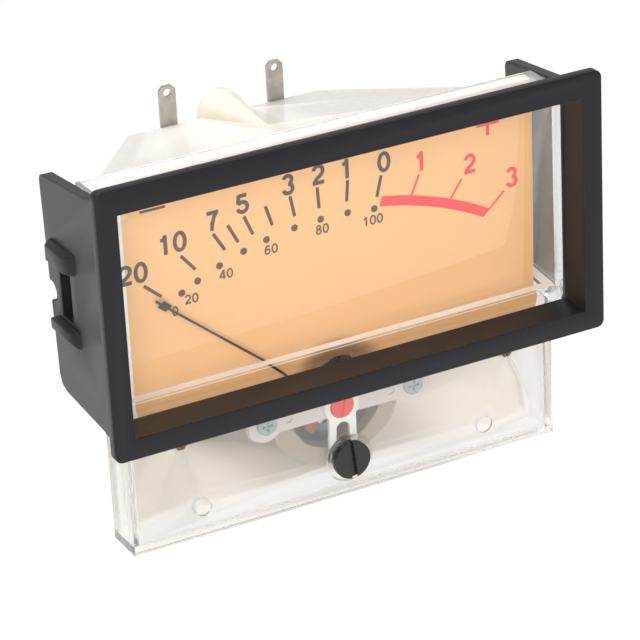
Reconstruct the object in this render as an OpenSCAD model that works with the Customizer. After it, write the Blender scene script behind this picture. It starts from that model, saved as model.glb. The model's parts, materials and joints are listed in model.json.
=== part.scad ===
// Analog panel meter with a clip-in bezel.
// Millimetres. Origin: middle of the panel face, the rear of the bezel flange.
// +Z is up, +Y goes into the panel, -Y faces the viewer.

/* [Bezel] */
// Outer width of the bezel flange
bezel_w = 98; // [80:0.5:140]
// Outer height of the bezel flange
bezel_h = 49.8; // [40:0.2:80]
// Thickness of the bezel flange
flange_t = 2; // [1.2:0.1:4]
// Corner radius of the flange
flange_r = 1.4; // [0.5:0.1:6]
// Width of the view opening
aperture_w = 90.2; // [70:0.2:120]
// Height of the opening's top edge above the middle
aperture_top = 20.2; // [15:0.2:30]
// Depth of the opening's bottom edge below the middle
aperture_low = 21; // [15:0.2:30]
// Wall thickness of the viewing tunnel
tunnel_t = 1.4; // [1:0.1:3]
// Thickness of each side cheek
cheek_t = 2.1; // [1.2:0.1:4]
// Length of a cheek behind the panel face, at its top
cheek_len = 25; // [15:0.5:40]
// Gap between a cheek and the clear cover
cheek_gap = 0.4; // [0.1:0.05:1]
// How far a latch stands out from its cheek
latch_out = 1.4; // [0.6:0.1:3]

/* [Clear cover] */
// Width of the upper window box
window_w = 90; // [70:0.5:120]
// Height of the window box's top above the middle
window_top = 20.2; // [15:0.2:30]
// Depth of the window box's bottom below the middle
window_low = 22; // [15:0.2:30]
// Distance of the window's front behind the panel face
window_y = 5.4; // [2:0.1:12]
// Width of the lower part of the cover
lower_w = 86.3; // [60:0.1:110]
// Distance of the lower front behind the panel face
lower_y = 6.8; // [3:0.1:14]
// Depth of the cover's bottom edge below the middle
cover_low = 48.7; // [40:0.1:70]
// Distance of the cover's rear rim behind the panel face
rim_y = 15.2; // [12:0.1:30]
// Wall thickness of the cover
cover_t = 1.4; // [1:0.1:2.5]

/* [Rear case] */
// Distance of the case's rear face behind the panel face
case_back = 49.9; // [35:0.1:80]
// Width of the case where it leaves the cover
case_w = 85.2; // [60:0.2:110]
// Width of the case's rear face
case_back_w = 39.1; // [25:0.1:80]
// Height of the case's top edge where it leaves the cover
case_top = 17.8; // [12:0.1:25]
// Height of the case's top edge at the rear face
case_back_top = 11; // [5:0.1:20]
// Depth of the case's bottom edge at the rear face
case_back_low = 46.4; // [30:0.1:60]
// Wall thickness of the case
case_t = 1.5; // [1:0.1:3]
// Gap between the case and the cover it plugs into
plug_gap = 0.3; // [0.1:0.05:0.6]
// Radius of the round boss on the rear edge
boss_r = 4.4; // [2:0.1:8]
// How far the boss stands out behind the rear face
boss_out = 2.3; // [0:0.1:6]

/* [Dial] */
// Width of the dial plate
dial_w = 83.2; // [60:0.2:110]
// Height of the dial plate's top edge
dial_top = 18.4; // [12:0.1:28]
// Depth of the dial plate's bottom edge
dial_low = 23.4; // [15:0.1:28]
// Distance of the dial's face behind the panel face
dial_y = 10.5; // [8:0.1:16]
// Thickness of the dial plate
dial_t = 0.5; // [0.3:0.1:1.5]
// Depth of the scale arc's centre below the middle
arc_low = 58.5; // [40:0.1:90]
// Outer radius of the scale marks
mark_r = 69; // [50:0.1:100]
// Length of a scale mark, taken along the arc's radius
mark_len = 4; // [2:0.1:8]
// Width of a scale mark
mark_w = 0.6; // [0.3:0.05:1.5]
// Width of the red band
band_w = 1.9; // [0.8:0.05:3]
// Radius of a percent dot
dot_r = 0.65; // [0.3:0.05:1.2]

/* [Movement] */
// Depth of the pivot axis below the middle
pivot_low = 31.8; // [20:0.1:45]
// Length of the pointer from its axis to the tip
pointer_len = 45.3; // [25:0.1:70]
// Width of the needle
needle_w = 0.4; // [0.2:0.05:1]
// Angle of the pointer at rest, from straight up
rest_angle = -49.6; // [-60:0.1:-20]
// Outer radius of the movement frame
frame_r = 12.8; // [11:0.1:18]
// Radius of the core magnet
core_r = 5.7; // [4:0.1:8]
// Inner radius of the iron ring
ring_in = 7.9; // [6:0.1:10]
// Outer radius of the iron ring
ring_out = 9.2; // [7:0.1:12]
// Radius of a pivot
pivot_r = 0.3; // [0.15:0.05:0.6]
// Running gap around a pivot
pivot_gap = 0.06; // [0.02:0.01:0.1]
// Distance of each bridge screw from the middle
bridge_screw_x = 14.8; // [12:0.1:22]
// Radius of the red jewel screw's head
jewel_r = 2.25; // [1.5:0.05:3]

/* [Zero adjuster] */
// Depth of the zero screw below the middle
zero_low = 41.5; // [35:0.1:50]
// Radius of the zero screw's cap
cap_r = 3.6; // [2.5:0.05:6]
// Radius of the neck that turns in the cover
neck_r = 2.3; // [1.5:0.05:4]
// Running gap around the neck
neck_gap = 0.08; // [0.03:0.01:0.1]
// Offset of the drive pin from the screw's axis
pin_off = 1.6; // [0.8:0.1:2.5]
// Radius of the drive pin
pin_r = 1.2; // [0.6:0.05:1.8]
// Gap on each side of the pin in its fork
fork_gap = 0.15; // [0.08:0.01:0.4]

/* [Fasteners and terminals] */
// Distance of each cover screw from the middle
cover_screw_x = 33.1; // [25:0.1:40]
// Depth of the cover screws below the middle
cover_screw_low = 29.1; // [26:0.1:40]
// Radius of a cover screw's head
cover_screw_r = 1.1; // [0.8:0.05:2]
// Distance of each terminal lug from the middle
lug_x = 11; // [7:0.1:16]
// Width of a terminal lug
lug_w = 3.3; // [2:0.1:6]
// Thickness of a terminal lug
lug_t = 0.6; // [0.3:0.05:1.2]
// Height of the lugs' tops above the middle
lug_top = 18.8; // [12:0.1:30]
// Radius of the solder hole in a lug
lug_hole_r = 0.76; // [0.4:0.02:1.2]

/* [Hidden] */

$fn = 64;
front_y = -flange_t;
tunnel_end = window_y - 0.3;
cheek_in = max(window_w, case_w) / 2 + cheek_gap;
cheek_out = cheek_in + cheek_t;
latch_front = cheek_len - 12.6;
latch_back = cheek_len - 3.2;
case_low = cover_low - cover_t - plug_gap;
case_run = case_back - rim_y;
seat_y = dial_y + dial_t + 0.05;
plug_y = rim_y - 2.2;
pane_in = lower_y + cover_t;
shelf_z = 3.45 - window_low;
wall_in = case_back - case_t;
print_t = 0.06;
band_r = mark_r - mark_len;
pin_z = pin_off - zero_low;
lever_y = 9.2;
lever_t = 0.8;
bridge_y = 10.2;
bridge_t = 1.4;
arm_y = 12.7;
arm_t = 0.3;
needle_y = 9.15;
coil_front = 13.9;
coil_back = 32.3;
wind_t = 1.1;
former_t = 0.3;
coil_x = 7.4;
coil_half = 1.3;
floor_y = 33.5;
floor_t = 2;
spring_in = 1.05;
spring_step = 0.26;
spring_h = 0.3;
spring_end = spring_in + 8 * spring_step + 0.1;
wire_low = 0.1 - pivot_low + sqrt(max(0, frame_r * frame_r - pow(lug_x - 0.45, 2)));
black_marks = [-48.22, -38.6, -30.18, -26.37, -22.11, -16.46, -9.92, -2.68, 5.47, 14.46];
red_marks = [24.68, 36.2, 47.8];
band_ends = [15.9, 47.9];
dot_angles = [-27.51, -24.36, -20.09, -15.53, -11.31, -6.21, -1.46, 3.44, 8.3];

// distance from the pivot to a circle of radius r round the arc's centre, at angle a
function reach(a, r) = let(h = arc_low - pivot_low) -h * cos(a) + sqrt(r * r - pow(h * sin(a), 2));

// round bar along +Y from y0 to y1 at x, z
module ybar(r, y0, y1, x = 0, z = 0) {
    translate([x, y0, z]) rotate([-90, 0, 0]) cylinder(r = r, h = y1 - y0);
}

// box from corner a to corner b
module span(a, b) {
    translate(a) cube(b - a);
}

// flat shape drawn in x, z, given thickness y0 to y1
module plate(y0, y1) {
    translate([0, y1, 0]) rotate([90, 0, 0]) linear_extrude(height = y1 - y0) children();
}

// rectangle with rounded corners
module round_rect(x0, z0, x1, z1, r) {
    translate([x0 + r, z0]) square([x1 - x0 - 2 * r, z1 - z0]);
    translate([x0, z0 + r]) square([x1 - x0, z1 - z0 - 2 * r]);
    for (x = [x0 + r, x1 - r]) for (z = [z0 + r, z1 - r]) translate([x, z]) circle(r = r);
}

// one cheek, its latch, slot and notch; side is -1 or 1
module cheek(side) {
    x0 = side < 0 ? -cheek_out : cheek_in;
    difference() {
        translate([x0, 0, 0]) rotate([90, 0, 90]) linear_extrude(height = cheek_t)
            polygon([[-0.1, 21.6], [cheek_len - 1.4, 19.3], [cheek_len - 0.4, 18.9],
                [cheek_len, 18], [cheek_len - 1.6, -18.4], [cheek_len - 2.4, -20.1],
                [cheek_len - 4.4, -20.9], [3, -22.3], [-0.1, -22.4]]);
        translate([x0 - 0.5, 0, 0]) span([0, latch_front + 2.5, -5.6], [cheek_t + 1, latch_back - 2.5, 3.4]);
        translate([x0 - 0.5, cheek_len - 1.6, -2.4]) rotate([0, 90, 0])
            cylinder(r = 1.9, h = cheek_t + 1);
        translate([x0 - 0.5, 0, 0]) span([0, cheek_len - 1.6, -4.3], [cheek_t + 1, cheek_len + 1, -0.5]);
    }
    latch(side, 4.4, 8.2, 0.9, 0);
    latch(side, -9.4, -6.5, 0, 0.9);
}

// one snap block with a ramp at the front and a chamfer above or below
module latch(side, z0, z1, top_c, low_c) {
    o = latch_out;
    f = latch_front;
    b = latch_back;
    translate([side < 0 ? -cheek_out - o : cheek_out, 0, z0]) difference() {
        linear_extrude(height = z1 - z0) polygon(side < 0
            ? [[o, f], [o * 0.45, f + 0.7], [0, f + 2.2], [0, b], [o, b]]
            : [[0, f], [o * 0.55, f + 0.7], [o, f + 2.2], [o, b], [0, b]]);
        if (top_c > 0) translate([side < 0 ? 0 : o, (f + b) / 2, z1 - z0]) rotate([0, 45, 0])
            cube([top_c * 1.5, b - f + 2, top_c * 1.5], center = true);
        if (low_c > 0) translate([side < 0 ? 0 : o, (f + b) / 2, 0]) rotate([0, 45, 0])
            cube([low_c * 1.5, b - f + 2, low_c * 1.5], center = true);
    }
}

module bezel() color("#2f2e31") {
    difference() {
        union() {
            plate(front_y, 0) round_rect(-bezel_w / 2, -bezel_h / 2, bezel_w / 2, bezel_h / 2, flange_r);
            span([-cheek_out, -0.1, -aperture_low - tunnel_t],
                [cheek_out, tunnel_end, aperture_top + tunnel_t]);
        }
        span([-aperture_w / 2, front_y - 1, -aperture_low],
            [aperture_w / 2, tunnel_end + 1, aperture_top]);
    }
    for (side = [-1, 1]) cheek(side);
}

module front_cover() color("#dfe6e8", 0.35) {
    w = window_w / 2;
    l = lower_w / 2;
    t = cover_t;
    difference() {
        union() {
            plate(window_y, rim_y) {
                translate([-w, 2.5 - window_low]) square([window_w, window_top + window_low - 2.5]);
                translate([2.5 - w, -window_low]) square([window_w - 5, 3]);
                for (s = [-1, 1]) translate([s * (w - 2.5), 2.5 - window_low]) circle(r = 2.5);
            }
            span([-l, lower_y, -cover_low], [l, rim_y, -window_low + 1]);
            translate([0, lower_y + 0.1, -zero_low]) rotate([90, 0, 0])
                cylinder(r1 = neck_r + 2.5, r2 = neck_r + 1.9, h = 0.55);
        }
        span([-w + t, window_y + t, shelf_z], [w - t, rim_y + 1, window_top - t]);
        span([-l + t, pane_in, -cover_low + t], [l - t, rim_y + 1, shelf_z + 0.1]);
        ybar(neck_r + neck_gap, lower_y - 1, pane_in + 1, 0, -zero_low);
        for (x = [-cover_screw_x, cover_screw_x]) ybar(0.85, lower_y - 1, pane_in + 1, x, -cover_screw_low);
    }
    // moulded pads behind the lower pane
    for (x = [-28.8, 28.8]) ybar(1.6, pane_in - 0.1, pane_in + 1, x, -43.5);
}

// solid outline of the tapered part of the case, shrunk by d, from the rim back by run
module taper(d, run) {
    k = run / case_run;
    w0 = case_w / 2 - d;
    w1 = case_w / 2 + (case_back_w - case_w) / 2 * k - d;
    t0 = case_top - d;
    t1 = case_top + (case_back_top - case_top) * k - d;
    l0 = d - case_low;
    l1 = d - case_low - (case_back_low - case_low) * k;
    translate([0, rim_y, 0]) polyhedron(
        points = [[-w0, 0, l0], [w0, 0, l0], [w0, 0, t0], [-w0, 0, t0],
            [-w1, run, l1], [w1, run, l1], [w1, run, t1], [-w1, run, t1]],
        faces = [[3, 2, 1, 0], [4, 5, 6, 7], [0, 1, 5, 4], [1, 2, 6, 5], [2, 3, 7, 6], [3, 0, 4, 7]]);
}

module rear_case() color("#f4efe2") {
    u = window_w / 2 - cover_t - plug_gap;
    l = lower_w / 2 - cover_t - plug_gap;
    s = shelf_z + plug_gap;
    top = window_top - cover_t - plug_gap;
    ax = atan2(3, 17.4);
    difference() {
        union() {
            span([-u, plug_y, s], [u, rim_y + 0.1, top]);
            span([-l, plug_y, -case_low], [l, rim_y + 0.1, s + 1]);
            taper(0, case_run);
            ybar(boss_r, case_back - 0.3, case_back + boss_out, 0, case_back_top - 0.2);
            translate([0, case_back, case_back_top - 0.2]) rotate([90 - ax, 0, 0]) {
                cylinder(r1 = boss_r, r2 = boss_r * 0.75, h = 5);
                translate([0, 0, 5]) cylinder(r1 = boss_r * 0.75, r2 = 0.4, h = 14.5);
            }
        }
        span([-u + case_t, plug_y - 1, s + case_t], [u - case_t, rim_y + 0.2, top - case_t]);
        span([-l + case_t, plug_y - 1, -case_low + case_t], [l - case_t, rim_y + 0.2, s + 2 * case_t]);
        taper(case_t + 0.2, case_run - case_t);
        ybar(boss_r - 1.6, case_back, case_back + boss_out + 1, 0, case_back_top - 0.2);
        for (x = [-lug_x, lug_x]) ybar(1, wall_in - 1, case_back + 1, x, 6);
    }
    // two rails the dial plate rests on
    for (x = [-1, 1]) translate([x * (u - case_t - 0.75), 0, 0])
        span([-0.9, seat_y, -12], [0.9, rim_y + 0.1, 12]);
    // two screw columns for the cover
    for (x = [-cover_screw_x, cover_screw_x]) difference() {
        union() {
            ybar(2.2, pane_in + 0.05, rim_y + 0.1, x, -cover_screw_low);
            intersection() {
                ybar(2.2, rim_y, 30, x, -cover_screw_low);
                taper(0, case_run);
            }
        }
        ybar(0.7, lower_y, 18, x, -cover_screw_low);
    }
}

module dial_plate() color("#fbc988") {
    tab = min(dial_w, lower_w - 2 * cover_t - 0.3) / 2;
    difference() {
        plate(dial_y, dial_y + dial_t) {
            round_rect(-dial_w / 2, shelf_z + 0.1, dial_w / 2, dial_top, 0.6);
            round_rect(-tab, -dial_low, tab, 0, 0.6);
        }
        plate(dial_y - 1, dial_y + dial_t + 1) translate([0, -pivot_low]) circle(r = 9.4);
    }
}

// one straight mark of width w at angle a, aimed at the pivot
module mark(a, w) {
    r0 = reach(a, band_r - 0.02);
    r1 = reach(a, mark_r);
    translate([0, 0, -pivot_low]) rotate([0, a, 0])
        span([-w / 2, dial_y - print_t, r0], [w / 2, dial_y, r1]);
}

module scale_black() color("#6d5c55") {
    for (a = black_marks) mark(a, mark_w);
    for (a = dot_angles) translate([0, 0, -arc_low]) rotate([0, a, 0])
        ybar(dot_r, dial_y - print_t, dial_y, 0, band_r - 2.2);
    span([-35.8, dial_y - print_t, 13.9], [-31, dial_y, 13.9 + mark_w * 0.75]);
}

module scale_red() color("#ff5f64") {
    for (a = red_marks) mark(a, mark_w * 0.7);
    // the band is cut off at both ends in line with the pivot
    intersection() {
        difference() {
            ybar(band_r, dial_y - print_t, dial_y, 0, -arc_low);
            ybar(band_r - band_w, dial_y - 1, dial_y + 1, 0, -arc_low);
        }
        translate([0, 0, -pivot_low]) plate(dial_y - 0.5, dial_y + 0.5)
            polygon([[0, 0], [60 * sin(band_ends[0]), 60 * cos(band_ends[0])],
                [60 * sin(band_ends[1]), 60 * cos(band_ends[1])]]);
    }
    span([30.2, dial_y - print_t, 14.1], [34.9, dial_y, 14.1 + mark_w * 0.7]);
    span([32.5 - mark_w / 2, dial_y - print_t, 12.1], [32.5 + mark_w / 2, dial_y, 16.6]);
}

module movement_frame() color("#e9dfca") {
    z = -pivot_low;
    difference() {
        union() {
            ybar(frame_r, 12.2, wall_in, 0, z);
            for (x = [-bridge_screw_x, bridge_screw_x])
                ybar(3, bridge_y + bridge_t, floor_y + floor_t, x, z);
        }
        ybar(ring_out + 0.05, 12, floor_y, 0, z);
        ybar(ring_out + 0.8, floor_y + floor_t, wall_in + 1, 0, z);
        ybar(1.85, floor_y - 1, floor_y + floor_t + 1, 0, z);
        for (x = [-bridge_screw_x, bridge_screw_x]) ybar(0.8, bridge_y, 18, x, z);
    }
    // shoulder the iron ring stands on
    difference() {
        ybar(ring_out + 0.1, 30.75, floor_y + 0.1, 0, z);
        ybar(ring_out - 1, 30, floor_y + 1, 0, z);
    }
}

module iron_ring() color("#8f9294") {
    difference() {
        ybar(ring_out, 15.5, 30.7, 0, -pivot_low);
        ybar(ring_in, 15, 31, 0, -pivot_low);
    }
}

module core_magnet() color("#4b4c4f") {
    ybar(core_r, 15.9, 30.3, 0, -pivot_low);
}

module core_holder() color("#a9acae") {
    difference() {
        intersection() {
            span([-1.6, 17, -pivot_low - 9], [1.6, 29, -pivot_low + 9]);
            ybar(ring_in - 0.03, 16, 30, 0, -pivot_low);
        }
        ybar(core_r + 0.03, 15, 31, 0, -pivot_low);
    }
}

module front_bridge() color("#ece6da") {
    z = -pivot_low;
    difference() {
        union() {
            span([-bridge_screw_x, bridge_y, z - 2.2], [bridge_screw_x, bridge_y + bridge_t, z + 2.2]);
            ybar(3.1, bridge_y, bridge_y + bridge_t, 0, z);
            for (x = [-bridge_screw_x, bridge_screw_x]) ybar(3.4, bridge_y, bridge_y + bridge_t, x, z);
        }
        ybar(1.85, bridge_y - 1, bridge_y + bridge_t + 1, 0, z);
        for (x = [-bridge_screw_x, bridge_screw_x]) ybar(0.95, bridge_y - 1, 13, x, z);
        for (x = [-10.3, 10.3]) ybar(0.85, bridge_y - 1, bridge_y + 0.4, x, z);
    }
}

module bridge_screws() color("#c3cccf") {
    for (x = [-bridge_screw_x, bridge_screw_x]) difference() {
        union() {
            ybar(1.85, bridge_y - 0.8, bridge_y, x, -pivot_low);
            ybar(0.75, bridge_y - 0.1, 17, x, -pivot_low);
        }
        for (a = [0, 90]) translate([x, bridge_y - 0.8, -pivot_low]) rotate([0, a, 0])
            cube([0.5, 0.9, 2.2], center = true);
    }
}

module jewel_front() color("#e2484a") {
    difference() {
        union() {
            ybar(jewel_r, 8.9, bridge_y, 0, -pivot_low);
            ybar(1.8, bridge_y - 0.1, 11.9, 0, -pivot_low);
        }
        translate([0, 8.9, -pivot_low]) rotate([0, 12, 0]) cube([0.8, 1.2, 6], center = true);
        ybar(pivot_r + pivot_gap, 10.9, 12, 0, -pivot_low);
    }
}

module jewel_rear() color("#c8a24e") {
    difference() {
        ybar(1.8, 33.9, 37, 0, -pivot_low);
        translate([0, 37, -pivot_low]) cube([0.7, 1.2, 6], center = true);
        ybar(pivot_r + pivot_gap, 33, 34.9, 0, -pivot_low);
    }
}

// places a moving piece, drawn with the pointer straight up, at its rest angle
module at_rest() {
    translate([0, 0, -pivot_low]) rotate([0, rest_angle, 0]) children();
}

module coil_former() color("#c9ced2") {
    x = coil_x - wind_t + 0.2;
    at_rest() difference() {
        span([-x, coil_front + wind_t, -coil_half], [x, coil_back - wind_t, coil_half]);
        span([-x + former_t, coil_front + wind_t + former_t, -3],
            [x - former_t, coil_back - wind_t - former_t, 3]);
    }
}

module coil_winding() color("#b0653a") {
    x = coil_x - wind_t + 0.2;
    at_rest() difference() {
        span([-coil_x, coil_front, -coil_half + 0.15], [coil_x, coil_back, coil_half - 0.15]);
        span([-x, coil_front + wind_t, -3], [x, coil_back - wind_t, 3]);
    }
}

module pivots() color("#9aa0a4") {
    ybar(pivot_r, 11.1, coil_front, 0, -pivot_low);
    ybar(0.95, 12, 12.45, 0, -pivot_low);
    ybar(0.8, 13.05, coil_front, 0, -pivot_low);
    ybar(pivot_r, coil_back, 34.7, 0, -pivot_low);
    ybar(0.95, coil_back, 33.1, 0, -pivot_low);
}

module pointer() color("#2b2a2b") {
    n = needle_w / 2;
    at_rest() {
        difference() {
            union() {
                ybar(1.3, arm_y, arm_y + arm_t);
                span([-0.45, arm_y, -4.9], [0.45, arm_y + arm_t, 6.7]);
                span([-4.9, arm_y, -0.35], [4.9, arm_y + arm_t, 0.35]);
            }
            ybar(pivot_r, arm_y - 1, arm_y + 1);
        }
        span([-0.45, needle_y, 6.3], [0.45, arm_y + arm_t, 6.7]);
        plate(needle_y, needle_y + arm_t) polygon([[-0.45, 6.3], [0.45, 6.3], [n, 9], [n, pointer_len],
            [-n, pointer_len], [-n, 9]]);
        translate([0, needle_y + arm_t / 2, pointer_len - 2.1]) rotate([0, 0, -25])
            cube([1.66, 0.2, 1.78], center = true);
    }
}

module balance_weights() color("#b9bcbe") {
    at_rest() {
        difference() {
            translate([0, arm_y + arm_t / 2, -4.9]) cylinder(r = 0.65, h = 1.1);
            span([-0.45, arm_y, -6], [0.45, arm_y + arm_t, 6]);
        }
        for (s = [-1, 1]) difference() {
            translate([s * 4.45, arm_y + arm_t / 2, 0]) rotate([0, 90, 0])
                cylinder(r = 0.55, h = 0.9, center = true);
            span([-6, arm_y, -0.35], [6, arm_y + arm_t, 0.35]);
        }
    }
}

// flat coil spring made of half turns, every second one centred one step higher
module flat_spring(y) {
    for (i = [0 : 7]) translate([0, y, spring_step * (i % 2) - pivot_low]) rotate([-90, 0, 0])
        rotate([0, 0, (i % 2 == 0) ? 90 : -90]) rotate_extrude(angle = 180)
            translate([spring_in + i * spring_step, 0]) square([0.1, spring_h]);
}

module hairspring_front() color("#c99a4a") {
    flat_spring(12.05);
}

module hairspring_rear() color("#c99a4a") {
    flat_spring(32.75);
}

module zero_lever() color("#f3efe8") {
    z = -pivot_low;
    f = pin_r + fork_gap;
    difference() {
        union() {
            ybar(3.45, lever_y, lever_y + lever_t, 0, z);
            span([-2.7, lever_y, z - 10], [2.7, lever_y + lever_t, z - 1.5]);
        }
        ybar(jewel_r + 0.15, lever_y - 1, lever_y + 2, 0, z);
        span([-f, lever_y - 1, z - 12], [f, lever_y + 2, z - 4.6]);
        ybar(f, lever_y - 1, lever_y + 2, 0, z - 4.6);
    }
    // hook over the bridge that holds the spring's outer end
    span([-0.5, lever_y, z + 3.35], [0.5, lever_y + lever_t, z + 4.1]);
    span([-0.5, lever_y, z + 3.6], [0.5, 12.35, z + 4.1]);
    span([-0.5, 11.9, z + spring_end], [0.5, 12.35, z + 4.1]);
}

module zero_screw() color("#1c1c1e") {
    difference() {
        union() {
            ybar(cap_r, lower_y - 1.5, lower_y - 0.5, 0, -zero_low);
            ybar(neck_r, lower_y - 0.6, pane_in + 0.15, 0, -zero_low);
            ybar(pin_off + pin_r + 0.1, pane_in + 0.1, pane_in + 0.5, 0, -zero_low);
            ybar(pin_r, pane_in + 0.4, lever_y + lever_t, 0, pin_z);
        }
        translate([0, lower_y - 1.5, -zero_low]) rotate([0, -6, 0]) cube([1.2, 1.4, 10], center = true);
    }
}

module cover_screws() color("#c39a58") {
    for (x = [-cover_screw_x, cover_screw_x]) {
        difference() {
            ybar(cover_screw_r, lower_y - 0.7, lower_y, x, -cover_screw_low);
            translate([x, lower_y - 0.7, -cover_screw_low]) cube([0.35, 0.5, 4], center = true);
        }
        ybar(0.65, lower_y - 0.1, 16, x, -cover_screw_low);
    }
}

module terminal_lugs() color("#a8a49c") {
    h = lug_w / 2;
    for (x = [-lug_x, lug_x]) difference() {
        plate(case_back, case_back + lug_t) polygon([[x - h, 3.4], [x + h, 3.4], [x + h, lug_top - 0.8],
            [x + h - 0.8, lug_top], [x - h + 0.8, lug_top], [x - h, lug_top - 0.8]]);
        ybar(lug_hole_r, case_back - 1, case_back + 2, x, lug_top - 1.35);
        ybar(1, case_back - 1, case_back + 2, x, 6);
    }
}

module terminal_rivets() color("#b8b4aa") {
    for (x = [-lug_x, lug_x]) difference() {
        union() {
            ybar(0.95, wall_in - 0.35, case_back + lug_t + 0.35, x, 6);
            ybar(1.5, case_back + lug_t, case_back + lug_t + 0.35, x, 6);
            ybar(1.5, wall_in - 0.35, wall_in, x, 6);
        }
        ybar(0.55, wall_in + 0.6, case_back + 2, x, 6);
    }
}

module lead_wires() color("#b5352f") {
    bend = 3;
    y = 14;
    for (x = [-lug_x, lug_x]) {
        ybar(0.45, y + bend, wall_in - 0.35, x, 6);
        translate([x, y + bend, 6 - bend]) rotate([0, 90, 0]) rotate([0, 0, 180])
            rotate_extrude(angle = 90) translate([bend, 0]) circle(r = 0.45);
        translate([x, y, wire_low]) cylinder(r = 0.45, h = 6 - bend - wire_low);
    }
}

bezel();
front_cover();
rear_case();
dial_plate();
scale_black();
scale_red();
movement_frame();
iron_ring();
core_magnet();
core_holder();
front_bridge();
bridge_screws();
jewel_front();
jewel_rear();
coil_former();
coil_winding();
pivots();
pointer();
balance_weights();
hairspring_front();
hairspring_rear();
zero_lever();
zero_screw();
cover_screws();
terminal_lugs();
terminal_rivets();
lead_wires();
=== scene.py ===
import json
from math import cos, pi, radians, sin

import bmesh
import bpy
from mathutils import Matrix, Quaternion, Vector

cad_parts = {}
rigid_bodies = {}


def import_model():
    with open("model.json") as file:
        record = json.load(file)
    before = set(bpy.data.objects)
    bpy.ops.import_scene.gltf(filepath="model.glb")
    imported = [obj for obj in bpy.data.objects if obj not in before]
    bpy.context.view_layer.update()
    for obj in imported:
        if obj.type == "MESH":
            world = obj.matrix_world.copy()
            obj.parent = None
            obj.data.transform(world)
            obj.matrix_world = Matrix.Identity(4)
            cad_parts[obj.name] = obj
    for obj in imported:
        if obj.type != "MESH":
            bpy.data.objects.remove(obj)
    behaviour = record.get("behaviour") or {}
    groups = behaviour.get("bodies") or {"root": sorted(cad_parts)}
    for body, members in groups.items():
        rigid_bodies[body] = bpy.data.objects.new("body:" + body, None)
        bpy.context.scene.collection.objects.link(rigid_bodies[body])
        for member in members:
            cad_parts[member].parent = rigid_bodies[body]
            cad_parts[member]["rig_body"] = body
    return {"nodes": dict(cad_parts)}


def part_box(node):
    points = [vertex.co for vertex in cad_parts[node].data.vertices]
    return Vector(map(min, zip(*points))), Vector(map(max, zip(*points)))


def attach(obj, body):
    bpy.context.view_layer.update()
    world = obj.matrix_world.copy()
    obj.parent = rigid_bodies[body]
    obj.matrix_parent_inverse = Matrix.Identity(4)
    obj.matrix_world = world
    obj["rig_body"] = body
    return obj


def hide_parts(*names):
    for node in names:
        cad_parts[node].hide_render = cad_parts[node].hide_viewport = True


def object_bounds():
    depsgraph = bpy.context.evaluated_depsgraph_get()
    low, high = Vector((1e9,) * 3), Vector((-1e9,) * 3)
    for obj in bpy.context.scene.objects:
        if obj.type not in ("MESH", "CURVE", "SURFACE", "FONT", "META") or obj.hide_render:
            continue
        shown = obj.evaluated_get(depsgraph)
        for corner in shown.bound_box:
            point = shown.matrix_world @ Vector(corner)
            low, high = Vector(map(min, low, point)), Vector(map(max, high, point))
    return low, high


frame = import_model()
cad_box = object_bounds()
mm = 0.001

# ---- Camera ----
# A long lens, left of the meter and a little above it, turned slightly about its own axis.
# The meter is seen with its left cheek, its top and its whole front.
eye = Vector((-236.68, -447.54, 228.66)) * mm
azimuth, elevation, roll = radians(-27.08), radians(25.34), radians(-3.0)
backward = Vector((sin(azimuth) * cos(elevation), -cos(azimuth) * cos(elevation), sin(elevation)))
lens = bpy.data.cameras.new("studio_camera")
lens.lens = 180.88
lens.sensor_width = 36
lens.clip_start = 0.01
lens.clip_end = 20
camera = bpy.data.objects.new("studio_camera", lens)
camera.location = eye
camera.rotation_mode = "QUATERNION"
camera.rotation_quaternion = (-backward).to_track_quat("-Z", "Y") @ Quaternion((0, 0, 1), roll)
bpy.context.scene.collection.objects.link(camera)
bpy.context.scene.camera = camera

# ---- Bezel ----
# One black ABS moulding: flange, viewing tunnel, two cheeks and their snap latches.
# Its satin skin has a fine spark grain, and every edge is eased as a mould leaves it.


def new_finish(name):
    """A new material, its node tree, its Principled shader and its Object coordinates."""
    m = bpy.data.materials.new(name)
    m.use_nodes = True
    tree = m.node_tree
    place = tree.nodes.new("ShaderNodeTexCoord").outputs["Object"]
    return m, tree, tree.nodes["Principled BSDF"], place


def clouds(tree, place, size, detail):
    """Noise in soft clouds of one size, in metres."""
    noise = tree.nodes.new("ShaderNodeTexNoise")
    noise.inputs["Scale"].default_value = 1 / size
    noise.inputs["Detail"].default_value = detail
    tree.links.new(place, noise.inputs["Vector"])
    return noise.outputs["Fac"]


def ranged(tree, value, at_start, at_end, start=0, end=1, ease="LINEAR"):
    """Goes from at_start to at_end as the value goes from start to end."""
    change = tree.nodes.new("ShaderNodeMapRange")
    change.interpolation_type = ease
    for socket, number in (("From Min", start), ("From Max", end), ("To Min", at_start), ("To Max", at_end)):
        change.inputs[socket].default_value = number
    tree.links.new(value, change.inputs["Value"])
    return change.outputs["Result"]


def feed(tree, source, socket):
    """Gives a socket its number or colour, or the link that drives it."""
    if isinstance(source, bpy.types.NodeSocket):
        tree.links.new(source, socket)
    else:
        socket.default_value = source


def blended(tree, factor, first, second, blend="MIX"):
    """The first colour, going over to the second, or multiplied by it, as the factor goes to 1."""
    mix = tree.nodes.new("ShaderNodeMix")
    mix.data_type = "RGBA"
    mix.blend_type = blend
    for source, socket in ((factor, "Factor"), (first, "A"), (second, "B")):
        feed(tree, source, mix.inputs[socket])
    return mix.outputs["Result"]


def emboss(tree, bsdf, height, strength, depth):
    """Relief on the skin that follows the height, its depth in mm."""
    relief = tree.nodes.new("ShaderNodeBump")
    relief.inputs["Strength"].default_value = strength
    relief.inputs["Distance"].default_value = depth * mm
    tree.links.new(height, relief.inputs["Height"])
    tree.links.new(relief.outputs["Normal"], bsdf.inputs["Normal"])


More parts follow.
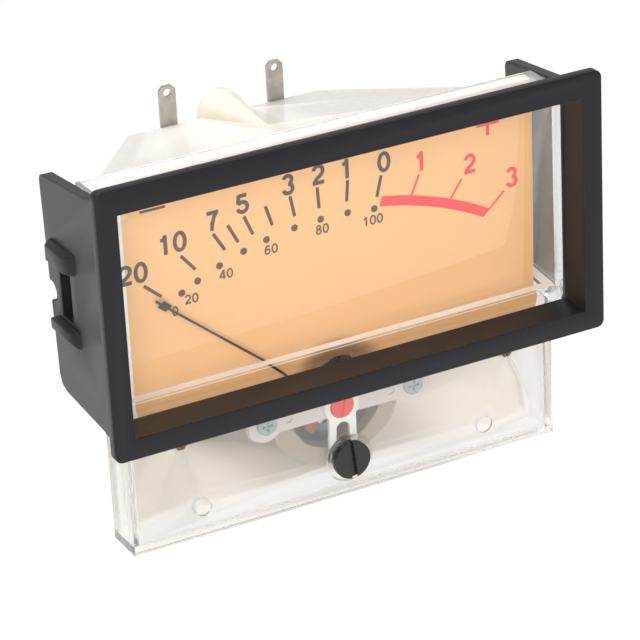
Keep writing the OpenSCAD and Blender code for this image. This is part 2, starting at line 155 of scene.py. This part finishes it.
def grained(name, colour, dull, grain, depth, spread=0.08, shade=0.06, patch=14, **shader):
    """A finish with a fine grain in its gloss and relief, and broad patches in its colour.

    The grain, the patches and the depth of the relief are in mm.
    """
    m, tree, bsdf, place = new_finish(name)
    fine = clouds(tree, place, grain * mm, 3)
    tone = ranged(tree, clouds(tree, place, patch * mm, 4), 1 - shade, 1 + shade)
    tree.links.new(blended(tree, 1, (*colour, 1), tone, "MULTIPLY"), bsdf.inputs["Base Color"])
    tree.links.new(ranged(tree, fine, dull - spread, dull + spread), bsdf.inputs["Roughness"])
    emboss(tree, bsdf, fine, 0.6, depth)
    for socket, value in shader.items():
        bsdf.inputs[socket.replace("_", " ")].default_value = value
    return m


def dress(node, finish):
    """Gives a CAD node its finish."""
    slots = frame["nodes"][node].data.materials
    slots.clear()
    slots.append(finish)


def eased(node, piece, edge, finish):
    """A copy of a CAD node in its place, its seams merged and its sharp edges rounded by edge mm."""
    seam, flat, sharp, smooth = 0.002 * mm, radians(1), radians(25), radians(35)
    shell = bmesh.new()
    shell.from_mesh(frame["nodes"][node].data)
    bmesh.ops.remove_doubles(shell, verts=shell.verts, dist=seam)
    bmesh.ops.dissolve_limit(shell, angle_limit=flat, verts=shell.verts, edges=shell.edges)
    corners = [e for e in shell.edges if len(e.link_faces) == 2 and e.calc_face_angle(0) > sharp]
    bmesh.ops.bevel(shell, geom=corners, offset=edge * mm, offset_type="OFFSET", segments=2,
                    profile=0.5, affect="EDGES", clamp_overlap=True, material=-1)
    mesh = bpy.data.meshes.new(piece)
    shell.to_mesh(mesh)
    shell.free()
    mesh.shade_smooth()
    mesh.set_sharp_from_angle(angle=smooth)
    mesh.materials.append(finish)
    made = bpy.data.objects.new(piece, mesh)
    bpy.context.scene.collection.objects.link(made)
    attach(made, frame["nodes"][node]["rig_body"])
    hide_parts(node)
    return made


black_abs = grained("black_abs", (0.0075, 0.0068, 0.0095), 0.38, 0.22, 0.012, Specular_IOR_Level=0.32)
bezel = eased("bezel", "bezel_moulding", 0.16, black_abs)

# ---- Dial plate ----
# Thin plastic sheet with a printed amber face, a little paler towards its upper edge.
# Shade is painted round the pointer's opening, and the print stops short of the sheet's left edge.


def axes(tree, place):
    """The X, Y and Z of a place."""
    split = tree.nodes.new("ShaderNodeSeparateXYZ")
    tree.links.new(place, split.inputs["Vector"])
    return split.outputs["X"], split.outputs["Y"], split.outputs["Z"]


def distance(tree, place, stretch, centre):
    """How far the place, with each axis stretched, is from the centre."""
    shaped = tree.nodes.new("ShaderNodeVectorMath")
    shaped.operation = "MULTIPLY"
    shaped.inputs[1].default_value = stretch
    tree.links.new(place, shaped.inputs[0])
    apart = tree.nodes.new("ShaderNodeVectorMath")
    apart.operation = "DISTANCE"
    apart.inputs[1].default_value = centre
    tree.links.new(shaped.outputs["Vector"], apart.inputs[0])
    return apart.outputs["Value"]


def worked_out(tree, operation, *terms):
    """The result of a Math node on numbers and links."""
    step = tree.nodes.new("ShaderNodeMath")
    step.operation = operation
    for source, socket in zip(terms, step.inputs):
        feed(tree, source, socket)
    return step.outputs["Value"]


def amber_sheet():
    """The amber print on its pale sheet, with painted shade round the pointer's opening."""
    m, tree, bsdf, place = new_finish("amber_sheet")
    lowest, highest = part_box("dial_plate")
    pivot_z = sum(corner.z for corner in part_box("pivots")) / 2
    dark_to, pale_from = 10 * mm, 13.2 * mm
    margin = lowest.x + 2.3 * mm
    x, _, z = axes(tree, place)
    level = ranged(tree, z, 0, 1, lowest.z, highest.z)
    amber = blended(tree, level, (0.885, 0.515, 0.235, 1), (0.925, 0.555, 0.275, 1))
    print_grain = clouds(tree, place, 0.2 * mm, 2)
    amber = blended(tree, 1, amber, ranged(tree, print_grain, 0.98, 1.02), "MULTIPLY")
    # Painted shade: the amber goes over to dark brown near the pointer's opening.
    from_pivot = distance(tree, place, (1, 0, 1), (0, 0, pivot_z))
    out_of_painted_shade = ranged(tree, from_pivot, 0.25, 1, dark_to, pale_from, "SMOOTHSTEP")
    amber = blended(tree, out_of_painted_shade, (0.10, 0.045, 0.02, 1), amber)
    face = blended(tree, worked_out(tree, "LESS_THAN", x, margin), amber, (0.95, 0.94, 0.93, 1))
    tree.links.new(face, bsdf.inputs["Base Color"])
    bsdf.inputs["Roughness"].default_value = 0.55
    bsdf.inputs["Specular IOR Level"].default_value = 0.25
    emboss(tree, bsdf, print_grain, 0.2, 0.005)
    return m


dress("dial_plate", amber_sheet())

# ---- Scale print ----
# Screen-printed ink: a warm dark grey for the level below zero and a coral red above it.
# The marks, dots, band and signs are thin raised solids, and the numerals lie level with them.
dark_ink = grained("dark_ink", (0.11, 0.077, 0.066), 0.6, 0.12, 0.004, Specular_IOR_Level=0.25)
red_ink = grained("red_ink", (0.90, 0.085, 0.095), 0.6, 0.12, 0.004, Specular_IOR_Level=0.25)
dress("scale_black", dark_ink)
dress("scale_red", red_ink)


def sweep(cx, cz, rx, rz, start, end, steps=14):
    """Points on part of an oval, angles in degrees from the right, counted anticlockwise."""
    turn = [radians(start + (end - start) * i / steps) for i in range(steps + 1)]
    return [(cx + rx * cos(a), cz + rz * sin(a)) for a in turn]


# Each numeral is a list of pen strokes in a cell one unit high, drawn along the middle of the line.
cell_w = 0.78
pen_w = 0.198
half = pen_w / 2
strokes = {
    "0": [sweep(0.39, 0.5, 0.262, 0.44, 0, 360, 28)],
    "1": [[(0.43, 0.0), (0.43, 1.0)], [(0.43, 0.93), (0.36, 0.80), (0.19, 0.745)]],
    "2": [sweep(0.39, 0.70, 0.245, 0.245, 172, -28) + [(0.50, 0.45), (0.30, 0.31), (0.165, 0.14)],
          [(0.075, half), (0.69, half)]],
    "3": [sweep(0.37, 0.735, 0.215, 0.215, 165, -82), sweep(0.37, 0.29, 0.245, 0.235, 88, -170)],
    "4": [[(0.53, 0.0), (0.53, 1.0)], [(0.50, 0.95), (0.09, 0.33)], [(0.05, 0.27), (0.70, 0.27)]],
    "5": [[(0.19, 1 - half), (0.62, 1 - half)], [(0.215, 0.95), (0.145, 0.52)],
          sweep(0.37, 0.325, 0.262, 0.255, 145, -165)],
    "6": [sweep(0.395, 0.315, 0.24, 0.25, 0, 360, 24),
          sweep(0.50, 0.46, 0.345, 0.47, 200, 100) + [(0.54, 0.90), (0.61, 0.78)]],
    "7": [[(0.09, 1 - half), (0.69, 1 - half)], [(0.63, 0.95), (0.46, 0.68), (0.345, 0.36), (0.305, 0.0)]],
    "8": [sweep(0.39, 0.745, 0.195, 0.19, 0, 360, 22), sweep(0.39, 0.29, 0.24, 0.23, 0, 360, 24)],
}


def numeral_mesh(text, height, weight):
    """The numerals of one label as flat ribbons in X and Z, centred on the origin."""
    stroke_lift = 0.0015
    line = bpy.data.curves.new("numeral", "CURVE")
    line.dimensions = "3D"
    line.twist_mode = "Z_UP"
    line.extrude = half * weight
    for cell, numeral in enumerate(text):
        left = (cell - len(text) / 2) * cell_w
        for layer, path in enumerate(strokes[numeral]):
            closed = (Vector(path[0]) - Vector(path[-1])).length < 1e-6
            points = path[:-1] if closed else path
            spline = line.splines.new("POLY")
            spline.points.add(len(points) - 1)
            for point, (x, z) in zip(spline.points, points):
                point.co = (left + x, z - 0.5, layer * stroke_lift, 1)
                point.tilt = pi / 2
            spline.use_cyclic_u = closed
    carrier = bpy.data.objects.new("numeral", line)
    mesh = bpy.data.meshes.new_from_object(carrier)
    bpy.data.objects.remove(carrier)
    mesh.transform(Matrix.Rotation(pi / 2, 4, "X") @ Matrix.Scale(height * mm, 4))
    return mesh


def label(piece, text, x, z, height, weight, finish):
    """One printed label, centred at x, z on the dial, in mm."""
    mesh = numeral_mesh(text, height, weight)
    mesh.transform(Matrix.Translation((x * mm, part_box("scale_black")[0].y, z * mm)))
    mesh.materials.append(finish)
    made = bpy.data.objects.new(piece, mesh)
    bpy.context.scene.collection.objects.link(made)
    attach(made, "meter")


level_h, percent_h, percent_weight = 3.7, 1.8, 0.9
for text, x, z in (("20", -37.85, 3.1), ("10", -30.2, 7.0), ("7", -22.3, 9.25), ("5", -16.5, 11.05),
                   ("3", -7.55, 12.4), ("2", -1.65, 12.8), ("1", 3.85, 12.63), ("0", 11.35, 12.13)):
    label(f"numeral_{text}_dark", text, x, z, level_h, 1, dark_ink)
for text, x, z in (("1", 18.7, 10.45), ("2", 28.65, 7.5), ("3", 37.3, 2.85)):
    label(f"numeral_{text}_red", text, x, z, level_h, 1, red_ink)
for text, x, z in (("0", -30.5, -5.85), ("20", -27.25, -4.3), ("40", -20.4, -1.35), ("60", -11.55, 1.1),
                   ("80", -1.4, 2.35), ("100", 8.7, 1.58)):
    label(f"percent_{text}", text, x, z, percent_h, percent_weight, dark_ink)

# ---- Movement ----
# Beige moulded frame with an ivory bridge across its front; in it an iron ring and a magnet core,
# and the coil that turns between them on two steel pivots in jewel screws.
dress("movement_frame", grained("beige_moulding", (0.40, 0.33, 0.26), 0.42, 0.4, 0.01))
dress("front_bridge", grained("ivory_moulding", (0.67, 0.62, 0.585), 0.38, 0.4, 0.01))
dress("iron_ring", grained("plated_iron", (0.22, 0.175, 0.145), 0.35, 0.3, 0.006, Metallic=1.0))
dress("core_magnet", grained("ground_magnet", (0.07, 0.058, 0.05), 0.45, 0.2, 0.01, Metallic=0.8))
dress("core_holder", grained("cast_zinc", (0.55, 0.55, 0.56), 0.45, 0.3, 0.01, Metallic=1.0))
dress("bridge_screws", grained("zinc_plate", (0.42, 0.47, 0.50), 0.24, 0.2, 0.005, Metallic=1.0))
dress("jewel_front", grained("red_lacquer", (0.80, 0.006, 0.006), 0.24, 0.3, 0.004, Coat_Weight=0.4))
dress("jewel_rear", grained("turned_brass", (0.72, 0.50, 0.22), 0.30, 0.15, 0.004, Metallic=1.0))
dress("coil_former", grained("former_sheet", (0.75, 0.76, 0.77), 0.30, 0.3, 0.004, Metallic=1.0))
dress("coil_winding", grained("enamelled_copper", (0.55, 0.22, 0.09), 0.30, 0.1, 0.02, Metallic=0.7))
dress("pivots", grained("pivot_steel", (0.55, 0.56, 0.57), 0.2, 0.2, 0.002, Metallic=1.0))
dress("hairspring_front", grained("spring_bronze", (0.75, 0.50, 0.22), 0.25, 0.2, 0.002, Metallic=1.0))
dress("hairspring_rear", bpy.data.materials["spring_bronze"])
dress("balance_weights", grained("solder_tin", (0.62, 0.62, 0.63), 0.38, 0.2, 0.02, Metallic=1.0))
dress("pointer", grained("needle_paint", (0.04, 0.028, 0.024), 0.42, 0.15, 0.006))

# ---- Zero adjuster ----
# White moulded fork lever, held under the red jewel screw. The eccentric pin of a black slotted
# screw, which turns in the clear cover's collar, swings it.
dress("zero_lever", grained("white_moulding", (0.86, 0.84, 0.80), 0.35, 0.35, 0.008))
dress("zero_screw", grained("black_nylon", (0.012, 0.012, 0.013), 0.26, 0.25, 0.01))

# ---- Clear cover ----
# One polystyrene moulding with eased edges, polished on its front. The back of its lower pane is
# lightly etched and its outer walls are hazy. The ledge under the window is rough and nearly
# opaque white, a painted highlight for the light that the ledge refracts.


def lets_light_in(tree, bsdf, tint):
    """Lets lamp light go straight through to the pieces behind, tinted; every other ray meets the shader."""
    straight = tree.nodes.new("ShaderNodeBsdfTransparent")
    straight.inputs["Color"].default_value = (*tint, 1)
    path = tree.nodes.new("ShaderNodeLightPath")
    either = tree.nodes.new("ShaderNodeMixShader")
    tree.links.new(path.outputs["Is Shadow Ray"], either.inputs["Fac"])
    tree.links.new(bsdf.outputs["BSDF"], either.inputs[1])
    tree.links.new(straight.outputs["BSDF"], either.inputs[2])
    tree.links.new(either.outputs["Shader"], tree.nodes["Material Output"].inputs["Surface"])


def clear_styrene():
    """The clear plastic, polished, etched or hazy by where it is on the cover."""
    m, tree, bsdf, place = new_finish("clear_styrene")
    bsdf.inputs["Base Color"].default_value = (0.98, 0.97, 0.962, 1)
    bsdf.inputs["IOR"].default_value = 1.49
    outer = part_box("front_cover")[1]
    side_wall, top_wall = outer.x - 1.45 * mm, outer.z - 1.5 * mm
    narrow_below, narrower_by = -20 * mm, 1.8 * mm
    front_to = 8.3 * mm
    pane_y, pane_reach, pane_top = 8.55 * mm, 0.6 * mm, -22.3 * mm
    ledge_z, ledge_reach = -18.55 * mm, 0.06 * mm
    flow_size = 1 / 110
    x, y, z = axes(tree, place)
    inset = ranged(tree, worked_out(tree, "LESS_THAN", z, narrow_below), 0, narrower_by)
    aside = worked_out(tree, "ADD", worked_out(tree, "ABSOLUTE", x), inset)
    on_side = worked_out(tree, "GREATER_THAN", aside, side_wall)
    on_wall = worked_out(tree, "MAXIMUM", on_side, worked_out(tree, "GREATER_THAN", z, top_wall))
    # The ledge mask carries a painted highlight: below, the ledge is made rough and nearly opaque, so it
    # shows white.
    on_ledge = worked_out(tree, "COMPARE", z, ledge_z, ledge_reach)
    below = worked_out(tree, "LESS_THAN", z, pane_top)
    etched = worked_out(tree, "MULTIPLY", below, worked_out(tree, "COMPARE", y, pane_y, pane_reach))
    behind = ranged(tree, worked_out(tree, "GREATER_THAN", y, front_to), 0.015, 0.12)
    dull = worked_out(tree, "ADD", behind, ranged(tree, etched, 0, 0.19))
    dull = worked_out(tree, "ADD", dull, ranged(tree, on_ledge, 0, 0.4))
    tree.links.new(dull, bsdf.inputs["Roughness"])
    clear = worked_out(tree, "MULTIPLY", ranged(tree, etched, 1, 0.89), ranged(tree, on_wall, 1, 0.84))
    clear = worked_out(tree, "SUBTRACT", clear, ranged(tree, on_ledge, 0, 0.97))
    tree.links.new(worked_out(tree, "MAXIMUM", clear, 0), bsdf.inputs["Transmission Weight"])
    emboss(tree, bsdf, clouds(tree, place, flow_size, 2), 0.12, 0.05)
    lets_light_in(tree, bsdf, (0.985, 0.98, 0.98))
    return m


cover = eased("front_cover", "cover_moulding", 0.14, clear_styrene())

# ---- Rear case ----
# Cream moulded tub with a glossy skin, thin enough for lamp light to reach the movement inside it.
# The boss on its rear edge has painted shade, a little darker and yellower than the rest of the case.


def cream_styrene():
    """The cream plastic, with painted shade round the boss."""
    m = grained("cream_styrene", (0.97, 0.905, 0.80), 0.17, 1.2, 0.006, spread=0.04, shade=0.015,
                Subsurface_Weight=0.6, Subsurface_Scale=0.006, Subsurface_Radius=(1, 0.92, 0.8))
    tree = m.node_tree
    bsdf = tree.nodes["Principled BSDF"]
    place = tree.nodes["Texture Coordinate"].outputs["Object"]
    stretch, centre = (1, 0.1, 1), (0, 4.4 * mm, 10.8 * mm)
    shade_full_to, pale_from = 4.2 * mm, 5.6 * mm
    from_boss = distance(tree, place, stretch, centre)
    boss_shade = ranged(tree, from_boss, 1, 0, shade_full_to, pale_from, "SMOOTHSTEP")
    cream = bsdf.inputs["Base Color"].links[0].from_socket
    # Painted shade on the boss: the cream is multiplied darker and a little yellower there.
    tree.links.new(blended(tree, boss_shade, cream, (0.80, 0.81, 0.77, 1), "MULTIPLY"), bsdf.inputs["Base Color"])
    lets_light_in(tree, bsdf, (0.70, 0.695, 0.695))
    return m


case = eased("rear_case", "case_moulding", 0.25, cream_styrene())

# ---- Terminals ----
# Stamped lugs of dull tinned brass, riveted through the rear wall, with red lead wires inside.
# Two brass screws hold the clear cover to the case.
dull_tin = grained("dull_tin", (0.46, 0.435, 0.40), 0.42, 0.12, 0.02, spread=0.12, shade=0.35, patch=1.6,
                   Metallic=1.0)
dress("terminal_lugs", dull_tin)
dress("terminal_rivets", grained("rivet_tin", (0.55, 0.53, 0.48), 0.35, 0.15, 0.01, Metallic=1.0))
dress("lead_wires", grained("red_sleeve", (0.50, 0.03, 0.02), 0.35, 0.2, 0.01))
dress("cover_screws", grained("brass_screw", (0.24, 0.155, 0.085), 0.5, 0.15, 0.01, Metallic=1.0))

# ---- Room ----
# A white studio with two soft lamps, and a pale floor well below the meter.
# The camera sees floor and surroundings white, straight or through clear plastic.


def seen_white(tree):
    """1 for rays from the camera, straight or through clear plastic, and 0 for all others."""
    path = tree.nodes.new("ShaderNodeLightPath")
    return worked_out(tree, "MAXIMUM", path.outputs["Is Camera Ray"], path.outputs["Is Transmission Ray"])


def pale_floor():
    """A matt floor with a soft shadow, mostly white where the camera sees it."""
    m, tree, bsdf, _ = new_finish("pale_floor")
    bsdf.inputs["Base Color"].default_value = (0.88, 0.88, 0.88, 1)
    bsdf.inputs["Roughness"].default_value = 0.8
    white_share = 0.85
    white = tree.nodes.new("ShaderNodeEmission")
    mix = tree.nodes.new("ShaderNodeMixShader")
    tree.links.new(ranged(tree, seen_white(tree), 0, white_share), mix.inputs["Fac"])
    tree.links.new(bsdf.outputs["BSDF"], mix.inputs[1])
    tree.links.new(white.outputs["Emission"], mix.inputs[2])
    tree.links.new(mix.outputs["Shader"], tree.nodes["Material Output"].inputs["Surface"])
    return m


floor_reach, floor_drop = 4, 60 * mm
ground = bmesh.new()
bmesh.ops.create_grid(ground, x_segments=1, y_segments=1, size=floor_reach)
bmesh.ops.translate(ground, verts=ground.verts, vec=(0, 0, cad_box[0].z - floor_drop))
floor_mesh = bpy.data.meshes.new("floor")
ground.to_mesh(floor_mesh)
ground.free()
floor_mesh.materials.append(pale_floor())
floor = bpy.data.objects.new("floor", floor_mesh)
bpy.context.scene.collection.objects.link(floor)

world = bpy.data.worlds.new("white_room")
world.use_nodes = True
bpy.context.scene.world = world
sky = world.node_tree.nodes["Background"]
sky.inputs["Color"].default_value = (1, 1, 1, 1)
room_light, room_white = 0.62, 1
strength = ranged(world.node_tree, seen_white(world.node_tree), room_light, room_white)
world.node_tree.links.new(strength, sky.inputs["Strength"])


def lamp(name, place, size, watts):
    """A soft square lamp at a place in metres, aimed at the meter."""
    light = bpy.data.lights.new(name, "AREA")
    light.size = size
    light.energy = watts
    made = bpy.data.objects.new(name, light)
    made.location = place
    made.rotation_mode = "QUATERNION"
    made.rotation_quaternion = (-Vector(place)).to_track_quat("-Z", "Y")
    bpy.context.scene.collection.objects.link(made)


lamp("front_lamp", (-0.35, -1.0, 0.3), 0.9, 5.4)
lamp("top_lamp", (-0.2, 0.2, 1.0), 0.6, 8.4)
bpy.context.scene.view_settings.view_transform = "Standard"
